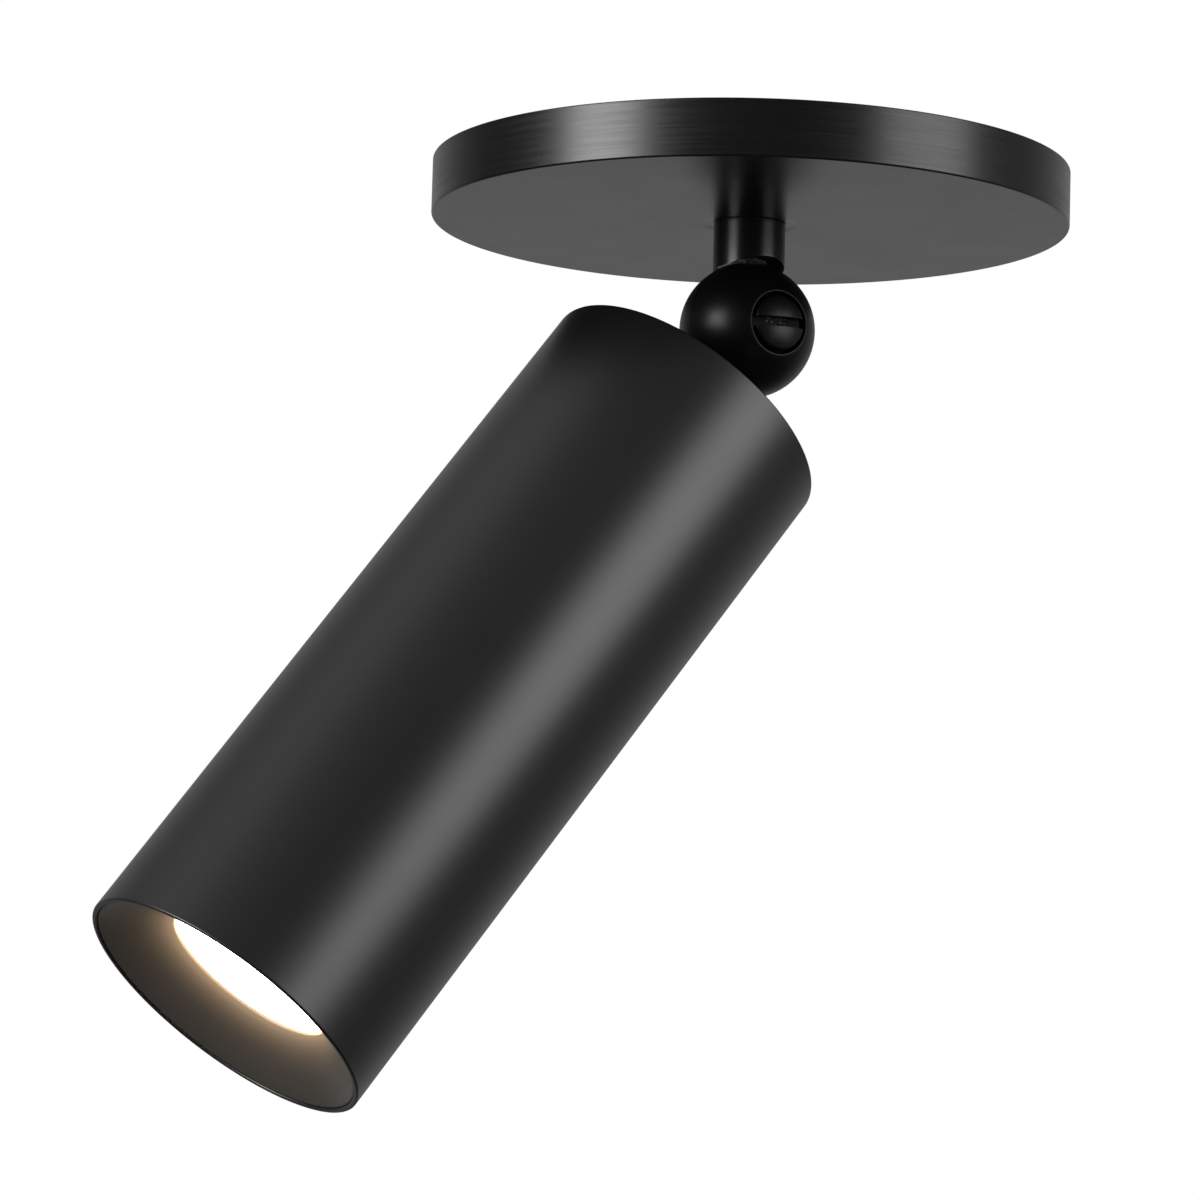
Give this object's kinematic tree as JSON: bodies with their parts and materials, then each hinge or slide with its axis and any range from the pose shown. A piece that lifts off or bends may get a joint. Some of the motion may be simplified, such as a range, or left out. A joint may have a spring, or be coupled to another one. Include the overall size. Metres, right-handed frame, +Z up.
{
  "type": "semi-flush ceiling spotlight",
  "caption": "Semi-flush ceiling spotlight with a thin round canopy, a split ball swivel held by a slotted screw, and a long cylinder head with a recessed lens.",
  "frame": {"origin": "centre of the ceiling plane, midway between the two box screw slots of the crossbar", "axes": "+Z up, out of the canopy into the ceiling; +X along the crossbar; the head hangs down and tilts towards -X"},
  "size_m": [0.1868, 0.1206, 0.1807],
  "materials": {
    "canopy_black": "satin black enamel over spun steel, fine brush lines round the rim",
    "swivel_black": "satin black enamel on turned metal, a little glossier than the head",
    "screw_black": "black oxide on steel, worn bright in the slot",
    "housing_black": "satin black powder coat with a very fine grain",
    "baffle_black": "matt black over turned rings",
    "zinc_steel": "bright zinc plate",
    "zinc_plate": "zinc plated sheet with a rolled grain",
    "spring_steel": "plain spring steel, lightly oiled",
    "ground_green": "green dyed zinc plate",
    "nylon": "natural nylon, smooth",
    "black_fibre": "black fibre washer",
    "driver_case": "moulded white polycarbonate with a fine spark grain",
    "bare_aluminium": "bare machined aluminium",
    "silicone_grey": "soft filled silicone sheet",
    "phosphor": "yellow phosphor under clear silicone",
    "holder_white": "moulded white plastic, matt",
    "reflector_bright": "bright metallised bowl",
    "ring_rubber": "black silicone rubber",
    "lead_red": "extruded red sleeve",
    "lead_dark": "extruded black sleeve",
    "lens_frosted": "opal diffuser, lit warm white from behind"
  },
  "bodies": {
    "canopy": {"canopy": "canopy_black", "mounting_bracket": "zinc_plate", "center_nipple": "zinc_steel", "bracket_lock_nuts": "zinc_steel", "ground_screw": "ground_green", "pan_washer": "black_fibre"},
    "swivel": {"swivel_upper_half": "swivel_black", "swivel_screw": "screw_black", "swivel_spring_washer": "spring_steel", "swivel_friction_washer": "nylon"},
    "head": {"swivel_lower_half": "swivel_black", "head_nipple": "zinc_steel", "head_tooth_washer": "spring_steel", "head_lock_nut": "zinc_steel", "housing": "housing_black", "top_screws": "screw_black", "short_standoffs": "zinc_steel", "driver_plate": "zinc_plate", "driver_screws": "zinc_steel", "driver": "driver_case", "tie_rods": "zinc_steel", "heat_sink": "bare_aluminium", "heat_sink_screws": "zinc_steel", "thermal_pad": "silicone_grey", "led_board": "bare_aluminium", "led_emitter": "phosphor", "led_holder": "holder_white", "holder_screws": "zinc_steel", "reflector": "reflector_bright", "lens": "lens_frosted", "baffle": "baffle_black", "baffle_o_ring": "ring_rubber", "lead_positive": "lead_red", "lead_negative": "lead_dark"}
  },
  "joints": [
    {"name": "pan", "type": "hinge", "parent": "canopy", "child": "swivel", "pos_m": [0, 0, -0.0105], "axis": [0, 0, 1], "range_deg": [-170, 170]},
    {"name": "tilt", "type": "hinge", "parent": "swivel", "child": "head", "pos_m": [0, 0, -0.031], "axis": [0, 1, 0], "range_deg": [-108.25, 31.75]}
  ]
}
